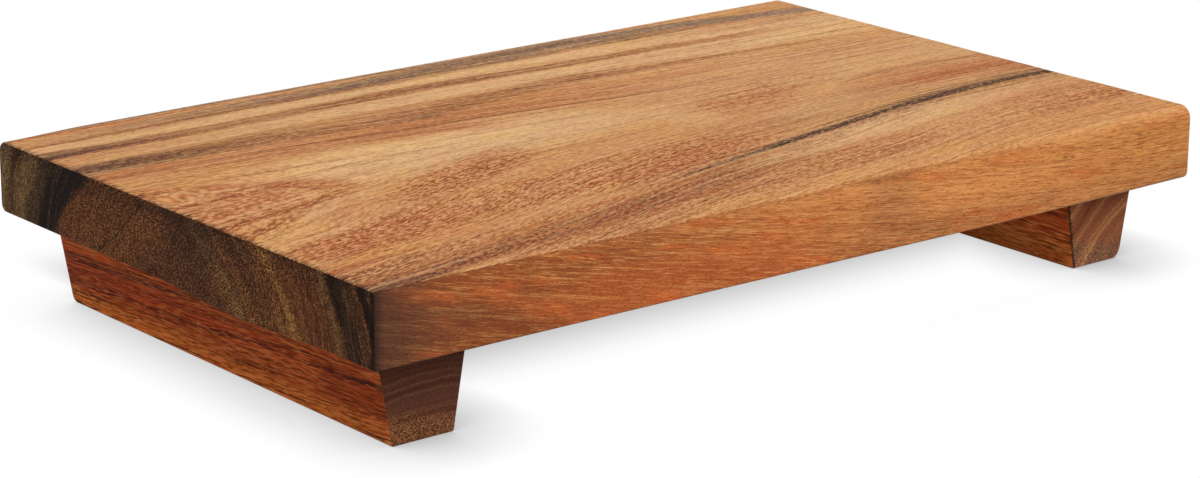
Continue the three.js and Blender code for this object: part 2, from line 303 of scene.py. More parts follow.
# Where a stroke starts and where it is whole, in half widths from its middle
STROKE_EDGE = (1.5, 0.5)
TOP_STROKES = (
    ("russet", "plain", (-165, 41, 6, 0.8), (-98, 40, 7, 0.66), (-32, 39, 8, 0.7), (10, 37, 8, 0.5),
     (60, 31, 10, 0.32), (165, 28, 9, 0.1)),
    ("pale", "plain", (10, 20, 8, 0), (60, 18, 18, 0.3), (110, 14, 24, 0.42), (135, 13, 24, 0.28),
     (165, 10, 24, 0.38)),
    ("pale", "plain", (-165, 81.5, 3.5, 0.5), (-76, 81.5, 3.5, 0.8), (-10, 81.5, 3.5, 0.9),
     (80, 78, 5, 0.85), (165, 70, 7, 0.8)),
    ("pale", "plain", (-165, 64, 4, 0), (-140, 64, 4.5, 0.3), (-76, 64.5, 5, 0.7), (-10, 64, 5, 0.95),
     (20, 63.5, 5, 0.85), (100, 58, 8, 0.85), (165, 54, 9, 0.8)),
    ("pale", "plain", (-140, 16, 4, 0), (-118, 12, 9, 0.45), (-95, 7, 17, 0.85), (-50, 8, 18, 0.95),
     (-15, 7, 16, 0.9), (10, 5, 12, 0.6), (28, 2, 9, 0.35), (45, 2, 8, 0)),
    ("grey", "plain", (-165, 91, 3, 0.1), (-130, 91, 3.5, 0.4), (-76, 91.5, 4.5, 0.85),
     (-10, 92.5, 5.5, 1), (57, 93, 6, 1), (100, 88, 4, 0.5), (135, 84, 3, 0.25), (165, 80, 3, 0.15)),
    ("orange", "plain", (-130, 98, 1.2, 0), (-90, 97.6, 1.8, 0.75), (-50, 97.4, 1.8, 0.75),
     (-20, 97.6, 1.6, 0.4), (5, 98, 1.2, 0)),
    ("slate", "plain", (-165, 101, 1.6, 0.7), (-120, 100.5, 2, 0.7), (-60, 100, 2, 0.6), (0, 100, 2, 0.5),
     (40, 100, 2, 0.3), (70, 100, 1.5, 0)),
    ("slate", "plain", (30, 98.5, 2, 0), (57, 97.6, 3, 0.45), (79, 96, 3.4, 0.7), (106, 93, 3.6, 0.8),
     (135, 88.3, 3.8, 0.75), (165, 82.7, 4, 0.8)),
    ("brown", "crisp", (-165, 86.3, 0.9, 0.8), (-130, 86.8, 0.9, 0.75), (-50, 87, 0.9, 0.6),
     (30, 86, 0.9, 0.35), (80, 84, 0.8, 0)),
    ("russet", "plain", (-165, 97.5, 1.4, 0.6), (-120, 97.3, 1.6, 0.7), (-90, 97.5, 1.4, 0.4),
     (-70, 98, 1.2, 0)),
    ("brown", "plain", (-165, 74.4, 4, 0.9), (-130, 74, 3.8, 0.85), (-100, 73.5, 3.4, 0.72),
     (-85, 73.5, 3.2, 0.72), (-65, 74, 3.3, 0.9), (-30, 74.2, 3.2, 0.92), (10, 73, 3, 0.85),
     (45, 71.5, 2.8, 0.65), (100, 68, 2.5, 0.32), (165, 66, 2, 0.15)),
    ("ink", "streaked", (-165, 74.6, 3.6, 0.95), (-150, 74.6, 3.2, 0.85), (-136, 74, 2.6, 0.5),
     (-105, 73, 2, 0)),
    ("brown", "streaked", (-165, 53.5, 5.5, 1), (-130, 53, 6, 0.95), (-76, 50.5, 6.5, 0.85),
     (-43, 48, 6, 0.85), (0, 51, 5, 0.75), (25, 52.5, 5, 0.9), (50, 50, 4, 0.7), (80, 48.5, 2.5, 0.4),
     (113, 46, 1, 0.4), (165, 42, 1, 0.3)),
    ("ink", "plain", (-165, 53.2, 5.2, 0.85), (-150, 53.2, 5.2, 0.8), (-136, 52, 5, 0.65),
     (-115, 50.5, 4.6, 0.35), (-85, 48.5, 3.5, 0.1), (-60, 47, 3, 0)),
    ("ink", "plain", (-58, 43, 0.6, 0), (-43, 42.7, 1.6, 0.55), (-30, 42.5, 0.6, 0)),
    ("ink", "plain", (22, 36, 0.6, 0), (31, 36, 1.3, 0.4), (40, 35.5, 0.5, 0)),
    ("brown", "crisp", (-140, 47.3, 0.6, 0.5), (-98, 44.3, 0.6, 0.6), (-65, 42, 0.6, 0.6),
     (-40, 41.6, 0.6, 0.3), (-20, 41, 0.5, 0)),
    ("brown", "crisp", (-165, 42, 0.7, 0.6), (-132, 40.5, 0.7, 0.7), (-98, 38.3, 0.8, 0.7),
     (-65, 35, 0.8, 0.8), (-32, 31, 0.8, 0.75), (2, 27.2, 0.9, 0.8), (24, 23.8, 0.9, 0.8),
     (57, 20.5, 0.9, 0.6), (102, 19, 0.8, 0.4), (165, 17.6, 0.8, 0.35)),
    ("umber", "plain", (-78, 32.5, 0.7, 0), (-56, 32.5, 1.1, 0.6), (-40, 29.5, 0.7, 0)),
    ("pale", "plain", (74, 8.3, 2, 0), (82, 8.3, 4.5, 0.7), (92, 8.3, 2, 0)),
    ("russet", "mottled", (-115, -34, 4, 0), (-100, -29, 8, 0.65), (-76, -22, 10, 0.85),
     (-55, -14, 9, 0.7), (-38, -8, 6, 0)),
    ("pale", "plain", (-165, -47, 4, 0.3), (-148, -39, 4, 0.3), (-133, -29, 4.5, 0.35),
     (-120, -21, 4.5, 0.2), (-108, -15, 4.5, 0.3), (-96, -10, 4, 0)),
    ("russet", "mottled", (-165, -62, 5, 0.5), (-150, -62, 10, 0.9), (-115, -56, 13, 0.95),
     (-85, -50, 13, 0.9), (-60, -47.5, 13, 0.85), (-35, -47, 12.5, 0.85), (-10, -45.5, 12.5, 0.85),
     (15, -42, 12, 0.65), (38, -38, 8, 0.1), (55, -36, 6, 0)),
    ("red", "mottled", (-70, -52, 4, 0), (-40, -52, 7, 0.5), (-10, -50, 8, 0.6), (20, -47, 6, 0.3),
     (40, -44, 4, 0)),
    ("red", "mottled", (-163, -62, 4, 0), (-156, -62, 9, 0.55), (-145, -61, 10, 0.65), (-125, -57, 8, 0.5),
     (-100, -53, 6, 0)),
    ("orange", "plain", (-165, -76.5, 3, 0.6), (-132, -71, 4, 0.95), (-98, -67.5, 4.5, 0.85),
     (-76, -66.5, 4, 0.25), (-55, -68, 3, 0)),
    ("red", "plain", (-165, -80, 1.8, 0.8), (-143, -76.5, 1.5, 0.5), (-125, -74, 1, 0)),
    ("russet", "mottled", (-130, -99, 4, 0), (-80, -95, 8, 0.55), (-40, -90, 11, 0.42), (0, -84, 11, 0.36),
     (40, -78, 10, 0.5), (80, -74, 8, 0.1), (120, -72, 7, 0.15)),
    ("brown", "mottled", (-125, -99, 3, 0), (-80, -94, 7, 0.3), (-40, -87, 8, 0.3), (0, -78, 8, 0.28),
     (35, -72, 6, 0.15), (60, -68, 4, 0)),
    ("russet", "mottled", (-165, -88, 4.5, 0.9), (-143, -84, 4, 0.9), (-110, -79, 4, 0.8),
     (-80, -75, 4, 0.7), (-50, -72, 3, 0.5), (-20, -66, 3, 0)),
    ("brown", "mottled", (-165, -88, 6, 0.6), (-150, -87, 5, 0.6), (-135, -84, 5, 0.5),
     (-115, -80, 4, 0.3), (-95, -77, 3, 0)),
    ("russet", "plain", (-165, -98, 6, 0.65), (-143, -94, 6, 0.65), (-98, -86.5, 8, 0.7),
     (-40, -77, 9, 0.75), (5, -68, 8, 0.6), (40, -60, 5, 0)),
    ("maroon", "dotted", (-165, -98.5, 4, 1), (-143, -95.5, 4.5, 0.95), (-120, -91, 5, 0.9),
     (-98, -87.5, 5.5, 0.9), (-65, -82, 6.2, 0.74), (-40, -77.5, 6.8, 0.8), (-20, -73.5, 6.5, 0.8),
     (5, -68, 6, 0.65), (35, -62, 3, 0)),
    ("ink", "plain", (-165, -100.5, 3, 0.85), (-150, -99.5, 2.6, 0.6), (-132, -98, 2, 0)),
    ("pale", "plain", (-10, -68, 3, 0), (20, -64, 5, 0.4), (60, -57, 7, 0.65), (90, -53, 7.5, 0.7),
     (115, -50, 6.5, 0.5), (140, -48, 5, 0.25), (165, -48, 4, 0.1)),
    ("amber", "plain", (-60, -98, 4, 0), (-20, -96, 6, 0.5), (20, -95, 6, 0.6), (50, -95, 7, 0.65),
     (90, -92, 9, 0.8), (130, -90, 11, 0.9), (165, -90, 11, 0.9)),
    ("russet", "mottled", (45, -78, 4, 0), (60, -76, 7, 0.3), (90, -73, 7, 0.12), (120, -69, 9, 0.5),
     (145, -67, 11, 0.65), (165, -67, 11, 0.65)),
    ("brown", "streaked", (70, -26, 3, 0), (95, -26, 5, 0.2), (118, -27, 4, 0.25), (138, -26, 5, 0.45),
     (165, -26, 6, 0.6)),
    ("russet", "mottled", (26, -8, 7, 0), (45, -7, 13, 0.5), (65, -2, 12, 0.55), (80, 5, 10, 0.45),
     (95, 9, 8, 0.3), (110, 8, 5, 0.1)),
    ("russet", "streaked", (85, -22, 5, 0), (100, -14, 8, 0.45), (125, -17, 12, 0.75), (150, -19, 11, 0.7),
     (165, -20, 11, 0.65)),
    ("red", "streaked", (110, -20, 2, 0), (130, -20.5, 5, 0.5), (150, -21, 4, 0.25), (162, -22, 3, 0)),
    ("grey", "plain", (20, -30, 4, 0), (40, -33, 7, 0.12), (60, -33, 8, 0.15), (80, -28, 8, 0.14),
     (100, -22, 7, 0.12), (120, -25, 5, 0)),
    ("pale", "plain", (42, -24, 4, 0), (60, -27, 7, 0.3), (80, -27, 8, 0.25), (96, -25, 6, 0.05),
     (112, -22, 4, 0)),
    ("brown", "crisp", (92, -10, 0.7, 0), (97, -7.3, 0.9, 0.3), (110, -4.5, 0.9, 0.4),
     (124, -2.8, 1, 0.45), (146, -5, 1, 0.45), (165, -8.4, 1, 0.4)),
    ("russet", "mottled", (-164, -18, 6, 0.2), (-150, -20, 9, 0.4), (-138, -20, 8, 0.25),
     (-125, -18, 6, 0)),
    ("russet", "plain", (-80, 29, 4, 0), (-65, 27.5, 5.5, 0.5), (-50, 27, 5.5, 0.55), (-35, 23, 5, 0.35),
     (-20, 21, 4, 0)),
    ("umber", "plain", (-75, 94, 1.5, 0), (-45, 94, 3, 0.35), (-20, 94.5, 1.5, 0)),
    ("brown", "plain", (-165, -91, 6, 0.35), (-148, -87, 5, 0.35), (-130, -83, 4, 0)),
    ("brown", "mottled", (-50, -64, 3, 0), (-35, -62.5, 4, 0.4), (-5, -56.5, 4, 0.38), (8, -55, 4, 0.35),
     (22, -53, 3, 0)),
    ("pale", "plain", (13, -12, 4, 0), (26, -13, 7, 0.4), (38, -14, 4, 0)),
    ("umber", "mottled", (18, -61, 3, 0), (35, -58, 5, 0.35), (60, -51, 4, 0.4), (85, -46.5, 4, 0.45),
     (105, -43.5, 3.5, 0.35), (130, -41.5, 3, 0.25), (165, -42.5, 3.5, 0.4)),
    ("umber", "streaked", (-26, -63, 1.0, 0), (-10, -60.6, 1.6, 0.4), (13, -56, 2.2, 0.6),
     (57, -46.4, 3.3, 0.7), (102, -38.6, 3.7, 0.7), (124, -36.2, 3.9, 0.7), (146, -35.5, 3.9, 0.7),
     (165, -36.4, 3.6, 0.65)),
    ("vein", "crisp", (-36, -66.2, 0.5, 0), (-22, -63.4, 0.9, 0.45), (-8, -60.6, 1.2, 0.65),
     (5, -58.2, 1.4, 0.8), (35, -52, 1.6, 0.9), (57, -47.9, 1.6, 0.9), (79, -43.9, 1.7, 0.9),
     (102, -40.4, 1.8, 0.9), (124, -38.2, 1.9, 0.9), (146, -37.5, 1.9, 0.85), (165, -38.4, 1.8, 0.8)),
    ("vein", "crisp", (-18, -62.8, 0.3, 0), (5, -58.4, 0.6, 0.6), (35, -52.2, 0.9, 0.75),
     (57, -48.2, 0.9, 0.7), (79, -44.2, 1, 0.7), (102, -40.8, 1.1, 0.65), (124, -38.6, 1.1, 0.6),
     (146, -37.9, 1.1, 0.55), (165, -38.8, 1, 0.5)),
)

# Bands of the end grain: place across the plank at half its thickness, half width, tone and strength
LEFT_END_STROKES = (
    (90, 14, "olive", 0.75), (98, 4.5, "olive", 0.9), (93.5, 1.0, "dark", 0.8), (86.5, 3.0, "olive", 1.0),
    (77, 6.0, "black", 0.75), (74.5, 0.6, "olive", 0.3), (66.5, 7.5, "black", 1.0), (47, 11, "red", 0.9),
    (29, 0.6, "black", 0.5), (-4, 13, "dark", 0.5), (-24, 6, "olive", 0.4), (-29, 2, "dark", 0.6),
    (-41, 6, "dark", 0.55), (-57, 2.3, "tan", 0.7), (-68, 9, "red", 0.8), (-81, 2.0, "olive", 0.5),
    (-88, 4.0, "black", 0.85), (-94.5, 2.0, "dark", 0.8), (-100.5, 2.2, "black", 0.95),
)
RIGHT_END_STROKES = (
    (94, 5, "olive", 0.8), (85, 4, "black", 0.9), (69, 2.4, "dark", 0.8), (56, 8, "olive", 0.6),
    (44, 2, "dark", 0.7), (29, 8, "red", 0.6), (0, 12, "dark", 0.5), (-23, 9, "red", 0.7),
    (-41, 2.4, "black", 1.0), (-62, 8, "olive", 0.6), (-79, 3, "dark", 0.6), (-93, 5, "red", 0.6),
)

# Figure of each foot: seed, rise of its lines to the front, dark lines as height, half width and
# strength, how plainly the fine lines show, how much painted light lifts its left side and how much duskier
# it is; then for its ends the heart of the rings and their spacing, the tones above and below, and the
# strength of the tan rings, of a dark rim and of the grit
FootLook = namedtuple(
    "FootLook", "seed rise lines plain bright dusk heart spacing upper lower streak rim grit")
FOOT_LOOKS = {
    "left": FootLook(
        10.0, 0.058, ((16.6, 1.7, 0.75), (8.2, 0.8, 0.7), (12.2, 0.6, 0.5), (22.5, 0.8, 0.5)),
        0.8, 0.0, 0.95, (0.0, -70.0), 1.7, srgb(83, 52, 41), srgb(98, 65, 45), 0.1, 0.0, 0.75),
    "right": FootLook(
        47.0, -0.02, ((24.0, 2.4, 0.6), (15.0, 0.8, 0.5), (9.0, 0.6, 0.4)),
        0.6, 0.9, 0.0, (37.0, -27.0), 5.0, srgb(127, 77, 53), srgb(112, 80, 61), 0.75, 0.9, 0.35),
}


def node_box(node):
    """Corners of a CAD node's box, in mm."""
    low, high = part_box(node)
    return low / MM, high / MM


plank_low, plank_high = node_box("top_plank")
plank_length = plank_high.x - plank_low.x
plank_width = plank_high.y - plank_low.y
plank_thickness = plank_high.z - plank_low.z


class Field:
    """A number, colour or shader that varies over a surface. Arithmetic on it adds Math nodes."""

    def __init__(self, tree, socket):
        self.tree = tree
        self.socket = socket

    def apply(self, operation, *others):
        return made(self.tree, "Math", dict(enumerate((self, *others))), operation=operation)

    def __rsub__(self, other):
        return self * -1 + other

    __add__ = __radd__ = partialmethod(apply, "ADD")
    __sub__ = partialmethod(apply, "SUBTRACT")
    __mul__ = __rmul__ = partialmethod(apply, "MULTIPLY")
    __truediv__ = partialmethod(apply, "DIVIDE")
    __abs__ = partialmethod(apply, "ABSOLUTE")


def made(tree, kind, values, output=0, **settings):
    """An output of a new node, with its inputs given by name or number as fields or plain values."""
    node = tree.nodes.new("ShaderNode" + kind)
    for name, setting in settings.items():
        setattr(node, name, setting)
    for name, value in values.items():
        if isinstance(value, Field):
            tree.links.new(value.socket, node.inputs[name])
        else:
            node.inputs[name].default_value = value
    return Field(tree, node.outputs[output])


def length_of(first, second):
    return (first * first + second * second).apply("SQRT")


def ramp(value, start, end, low=0.0, high=1.0):
    """A soft step: low at start, high at end."""
    values = {"Value": value, "From Min": start, "From Max": end, "To Min": low, "To Max": high}
    return made(value.tree, "MapRange", values, interpolation_type="SMOOTHSTEP")


def within(value, patch, low=0.0, high=1.0):
    """A soft patch: high in its core, low beyond its reach."""
    return ramp(abs(value - patch.centre), patch.reach, patch.core, low, high)


def grained(place, grain, start=(0.0, 0.0, 0.0)):
    """Noise from 0 to 1 around a half, in the cells of a grain. The start moves it by whole cells."""
    tree = place[0].tree
    shifts = (start[0] + grain.shift, start[1], start[2])
    cells = [value / size + shift for value, size, shift in zip(place, grain.sizes, shifts)]
    vector = made(tree, "CombineXYZ", dict(enumerate(cells)))
    values = {"Vector": vector, "Scale": 1.0, "Detail": grain.detail, "Roughness": grain.roughness}
    return made(tree, "TexNoise", values, "Fac")


def swaying(place, grain, start=(0.0, 0.0, 0.0)):
    """Noise around nought that sways by the reach of its grain."""
    return (grained(place, grain, start) - 0.5) * grain.reach


def blended(factor, under, over, blend="MIX"):
    return made(factor.tree, "Mix", {0: factor, 6: under, 7: over}, 2, data_type="RGBA", blend_type=blend)


class Paint:
    """A colour that tones are laid over and tints multiply. A tone is a name in a table, or a colour."""

    def __init__(self, tones, tone):
        self.tones = tones
        self.colour = tones.get(tone, tone)

    def lay(self, mask, tone):
        self.colour = blended(mask, self.colour, self.tones.get(tone, tone))

    def tint(self, mask, tint):
        self.colour = blended(mask, self.colour, tint, "MULTIPLY")


def along_curve(value, pairs):
    """A smooth curve through given pairs, both numbers from 0 to 1."""
    node = value.tree.nodes.new("ShaderNodeFloatCurve")
    curve = node.mapping.curves[0]
    curve.points[0].location = pairs[0]
    curve.points[1].location = pairs[-1]
    for position, height in pairs[1:-1]:
        curve.points.new(position, height)
    for point in curve.points:
        point.handle_type = "AUTO_CLAMPED"
    node.mapping.update()
    value.tree.links.new(value.socket, node.inputs["Value"])
    return Field(value.tree, node.outputs[0])


def new_material(name):
    material = bpy.data.materials.new(name)
    material.use_nodes = True
    material.node_tree.nodes.clear()
    return material, material.node_tree


def shown(shader):
    """Makes a shader the one that its material shows."""
    output = shader.tree.nodes.new("ShaderNodeOutputMaterial")
    shader.tree.links.new(shader.socket, output.inputs[0])


def surface_fields(tree, output):
    """The three numbers of an output of the surface: its place as Object, what it faces as Normal."""
    coordinate = tree.nodes.new("ShaderNodeTexCoord")
    split = tree.nodes.new("ShaderNodeSeparateXYZ")
    tree.links.new(coordinate.outputs[output], split.inputs[0])
    return [Field(tree, socket) for socket in split.outputs]


def surface_place(tree):
    """The shaded point, in mm."""
    return [field / MM for field in surface_fields(tree, "Object")]


def wood_shader(tree, paint, height, figure, satin):
    """Oiled wood with a colour and a relief. A figure makes it smoother and rougher."""
    relief = {"Strength": 1.0, "Distance": satin.relief * MM, "Height": height}
    shown(made(tree, "BsdfPrincipled", {
        "Base Color": paint.colour,
        "Roughness": ramp(figure, *NOISE_SPREAD, satin.smoothest, satin.roughest),
        "Specular IOR Level": satin.sheen,
        "Normal": made(tree, "Bump", relief),
    }))


TopGrain = namedtuple("TopGrain", "wave place feather strand dash clump")


def top_grain(x, y, z):
    """Grain of the top, which runs with the vein at the front and with the long line at the back."""
    share = (x - plank_low.x) / plank_length
    front_drift = (along_curve(share, FRONT_FLOW) - 0.5) * FLOW_SPAN
    back_drift = (along_curve(share, BACK_FLOW) - 0.5) * FLOW_SPAN
    wave = swaying((x, y, z), TOP_WAVE)
    flow = y + wave - ramp(y, 20, -60) * front_drift - ramp(y, 0, 30) * ramp(y, 100, 40) * back_drift
    place = (x, flow, z)
    zigzag = swaying(place, TOP_ZIGZAG)
    return TopGrain(
        wave, place, swaying(place, TOP_FEATHER), grained(place, TOP_STRAND),
        grained((x, flow + zigzag, z), TOP_DASH), grained((x, flow + zigzag * 2, z), TOP_CLUMP))


def lay_strokes(paint, share, feathered, smooth, broken):
    """Lays the strokes. Returns the strength of the mottled and of the dotted ones."""
    marks = {"mottled": 0.0, "dotted": 0.0}
    for tone, texture, *points in TOP_STROKES:
        curves = []
        for index, scale, shift in ((1, plank_width, 0.5), (2, WIDEST_STROKE, 0.0), (3, 1.0, 0.0)):
            pairs = [((p[0] - plank_low.x) / plank_length, p[index] / scale + shift) for p in points]
            curves.append(along_curve(share, pairs))
        centre = (curves[0] - 0.5) * plank_width
        half = curves[1] * WIDEST_STROKE
        across = smooth if texture == "crisp" else feathered
        mask = ramp(abs(across - centre) / half, *STROKE_EDGE) * curves[2]
        if texture in marks:
            marks[texture] = mask.apply("MAXIMUM", marks[texture])
        if texture in broken:
            mask = mask * broken[texture]
        paint.lay(mask, tone)
    return marks["mottled"], marks["dotted"]


def lay_rings(paint, x, y, grain):
    """Lays the pointed growth rings. Returns the strength of their figure."""
    dash = grain.dash
    aside = y + grain.wave * 0.5 + (grain.feather + dash - 0.5) * 0.4 - CATHEDRAL_LINE
    opening = ramp(aside, -6, 6, CATHEDRAL_FRONT[0], CATHEDRAL_BACK[0])
    pull = ramp(aside, -6, 6, CATHEDRAL_FRONT[1], CATHEDRAL_BACK[1])
    lean = aside / opening
    ring = x + pull * ((lean * lean + 1).apply("SQRT") - 1)
    outer, inner = CATHEDRAL_TIPS
    # a flame between the outer and the inner ring, and the mottled inside with its light crest
    flame = ramp(ring + (dash - 0.5) * 14, outer + 1, outer - 9) * ramp(ring, inner - 1, inner + 0.5)
    paint.lay(flame * ramp(aside, -13, -3) * 0.75, "russet")
    inside = ramp(ring, inner + 0.8, inner - 0.8)
    mottle = ramp(dash, *GAPS, 0.5, 0.9)
    paint.lay(inside * mottle * 0.85, "russet")
    crest = ramp(abs(ring - inner + 5), 4.5, 1.5) * ramp(aside, -12, -2)
    paint.lay(crest * 0.35, "straw")
    # dark arcs in the inside, and its dark outline
    arcs = grained((ring, aside, 7.0), CATHEDRAL_ARCS)
    paint.lay(ramp(arcs, 0.52, 0.66) * inside * mottle * 0.8, "brown")
    outline = ramp(abs(ring - inner), 1.1, 0.2) * ramp(dash, 0.34, 0.5, 0.5, 0.9)
    paint.lay(outline * 0.8, "brown")
    return inside * 0.2 + flame * 0.4


def top_figure(x, y, z, grain):
    """Figure of the top. Returns its paint with the strength of what is mottled and of what is dotted."""
    feathered = y + grain.wave * 0.5 + grain.feather + (grain.strand - 0.5) * 3.0
    smooth = y + grain.wave * 0.2 + grain.feather * 0.3
    broken = {
        "mottled": ramp(grain.dash, *GAPS, 0.45, 1.0),
        "dotted": ramp(grain.clump, 0.43, 0.58, 0.1, 1.0),
        "streaked": ramp(grain.strand, *GAPS, 0.6, 1.0),
    }
    share = (x - plank_low.x) / plank_length
    paint = Paint(TONES, "honey")
    figure, dots = lay_strokes(paint, share, feathered, smooth, broken)
    figure = figure.apply("MAXIMUM", lay_rings(paint, x, y, grain))
    tooth = grained((x, y, z), TOP_TOOTH) * TORN_REACH - TORN_OFF
    paint.lay(ramp(x - plank_low.x - tooth, 0.6, 0.0) * 0.6, "vein")
    return paint, figure, dots


def side_figure(x, y, z):
    """Figure of the long sides: red-brown at the left, amber at the right."""
    depth = plank_high.z - z
    slope = x - depth * SIDE_SLOPE
    place = (x, y, z + x * SIDE_RISE - x * x * SIDE_BEND)
    paint = Paint(SIDE_TONES, "red")
    paint.lay(ramp(slope, -135, 45), "orange")
    paint.lay(ramp(slope, -20, 140), "amber")
    # long bands, glowing spots and short flecks
    band = grained(place, SIDE_BAND)
    paint.tint(ramp(band, 0.50, 0.66) * 0.36, DARKER)
    paint.lay(ramp(band, 0.48, 0.34) * 0.36, "tan")
    ember = ramp(grained(place, SIDE_EMBER), 0.52, 0.70)
    paint.lay(ember * ramp(slope, 130, 0, 0.2, 0.7), "ember")
    fleck = grained(place, SIDE_FLECK)
    lively = ramp(slope, -200, -90, 0.85, 1.35)
    paint.lay(ramp(fleck, 0.52, 0.66) * lively * 0.55, "tan")
    paint.lay(ramp(fleck, 0.48, 0.34) * lively * 0.6, "bark")
    # patches, painted shade along the lower edge at the right, and a darker patch
    paint.lay(ramp(depth, 6, 13) * within(x, FRONT_BLAZE) * 0.25, "blaze")
    dusk = ramp(depth, 12, 20) * ramp(x, 10, 45)
    dark_patch = within(x - depth * 0.2, FRONT_DARK_PATCH) * ramp(depth, 21, 12)
    paint.tint(dusk * 0.9 + dark_patch, DIMMED)
    paint.tint(within(x, FRONT_DULL) * ramp(depth, 6, 12) * 0.8, DIMMED)
    # painted shade darkening the front towards the left end, black at the corner; and the knot
    reach = ramp(depth, 4, 12, 34, 56) - ramp(depth, 14, 21, 0, 14)
    left_end_shade = ramp(x + (fleck - 0.5) * 16 - plank_low.x, reach, 0)
    paint.lay(left_end_shade * 0.84, "shade_knot_brown")
    corner = ramp(x + (fleck - 0.5) * 4 - plank_low.x, 4.0, 0.5)
    paint.lay(corner * 0.7, "corner_shade")
    knot = length_of((x - PIN_KNOT[0]) * PIN_KNOT_STRETCH, z - PIN_KNOT[1])
    paint.lay(ramp(knot, 0.9, 0.2) * 0.55, "shade_knot_brown")
    return paint.colour


def plank_material():
    """Long grain of the plank: the figure of its top, and the plainer figure of its long sides."""
    material, tree = new_material("plank_long_grain")
    x, y, z = surface_place(tree)
    facing = surface_fields(tree, "Normal")[1]
    grain = top_grain(x, y, z)
    paint, figure, dots = top_figure(x, y, z, grain)
    # the long edges, softer at the right, and painted shade on their rounding that holds down the key
    # light's highlight
    soft = ramp(x, 20, 120) * 0.25
    paint.lay(ramp(abs(facing), soft + 0.2, soft + 0.75), side_figure(x, y, z))
    steep = facing * facing
    paint.tint(steep * (1 - steep) * ramp(x, 40, 150, 4.0, 1.0), EDGE_SHADE)
    # long lines and short dashes on the top alone
    top_only = ramp(abs(facing), 0.85, 0.25)
    paint.tint(ramp(grain.strand, 0.50, 0.64) * top_only * 0.7, DARKER)
    paint.lay(ramp(grain.strand, 0.49, 0.33) * top_only * 0.55, "pale")
    busy = top_only * (0.56 + figure * 0.6)
    paint.tint(ramp(grain.dash, 0.50, 0.62) * busy * 0.9, DARKER)
    light_dash = ramp(grain.dash, 0.48, 0.37) * busy * (0.8 - dots * 0.6 - figure * 0.1)
    paint.lay(light_dash, "straw")
    tint = grained(grain.place, TOP_TINT)
    paint.tint(ramp(tint, 0.50, 0.64) * top_only * 0.8, GOLDEN)
    paint.tint(ramp(tint, 0.50, 0.36) * top_only * 0.8, ROSY)
    # fibres and pores
    fibre = grained(grain.place, TOP_FIBRE)
    fine = top_only * 0.25 + 0.15
    paint.tint(ramp(fibre, 0.51, 0.66) * fine, DARKER)
    paint.tint(ramp(fibre, 0.49, 0.34) * fine, BRIGHTER)
    pore = ramp(grained(grain.place, TOP_PORE), *PORES)
    paint.tint(pore * 0.4, DARKEST)
    wood_shader(tree, paint, fibre * 0.4 + grain.dash * 0.3 - pore, fibre, PLANK_SATIN)
    return material


def end_material(name, bands):
    """End grain of the plank: growth rings cut across, dark with oil, with open pores."""
    material, tree = new_material(name)
    place = surface_place(tree)
    y, z = place[1:]
    depth = (plank_high.z - z) / plank_thickness
    middle = (plank_high.z + plank_low.z) / 2
    aside = y - PITH[0]
    drift = swaying(place, END_DRIFT)
    grit = swaying(place, END_GRIT)
    # bands, which lean with the rings that they are cut from
    tilt = aside * (middle - PITH[1]) / (aside * aside + RING_CALM * RING_CALM)
    lean = ramp(y, 92, 60, 0.85, 1.75) * ramp(y, 30, 55, 0.7, 1.0) * RING_LEAN
    across = y + (z - middle) * tilt * lean + drift + grit
    paint = Paint(END_TONES, "brown")
    for centre, half, tone, strength in bands:
        mask = ramp(abs(across - centre), half * 1.4, half * 0.6) * strength
        paint.lay(mask, tone)
    # fine rings
    ring = length_of(aside, z - PITH[1]) + drift * 0.7 + grit * 0.3
    rings = grained((ring, y, 0.0), END_RINGS)
    clear = ramp(abs(aside), 8, 80, 0.2, 0.6)
    paint.tint(ramp(rings, 0.50, 0.64) * clear, DARKER)
    paint.lay(ramp(rings, 0.48, 0.34) * clear * 0.35, "tan")
    # light and dark specks
    speck = grained(place, END_SPECK)
    patch = grained(place, END_PATCH)
    open_grain = ramp(patch, 0.35, 0.6, 0.9, 1.0) * within(y, END_OPEN, 0.6, 1.0)
    paint.tint(ramp(speck, 0.505, 0.555) * open_grain, GRITTY)
    paint.tint(ramp(speck, 0.50, 0.455) * open_grain, DARKEST)
    # darker from the top down, further in places, and black along the front corner
    reach = within(y, END_DEEP, 0.3, 1.15) + within(y, END_SHALLOW, 0.0, 0.35)
    darkened_from_top = ramp(depth + (speck - 0.5) * 1.6 + (patch - 0.5) * 0.5, reach, 0.0)
    paint.lay(darkened_from_top * 0.6, "black")
    corner = ramp(y - plank_low.y + (speck - 0.5) * 3, 2.6, 1.0)
    paint.lay(corner * 0.85, "black")
    # clots, a glint along the lower edge, and pores
    clot = grained(place, END_CLOT)
    paint.tint(ramp(clot, 0.50, 0.62) * 0.7, DARKER)
    paint.tint(ramp(clot, 0.49, 0.37) * 0.8, BRIGHTER)
    paint.tint(ramp(depth, 0.5, 0.9) * within(y, END_GLINT) * 0.8, GLINTING)
    pore = ramp(grained(place, END_PORE), 0.56, 0.68)
    paint.tint(pore * 0.7, DARKEST)
    wood_shader(tree, paint, rings * 0.3 + speck * 0.4 - pore, rings, END_SATIN)
    return material


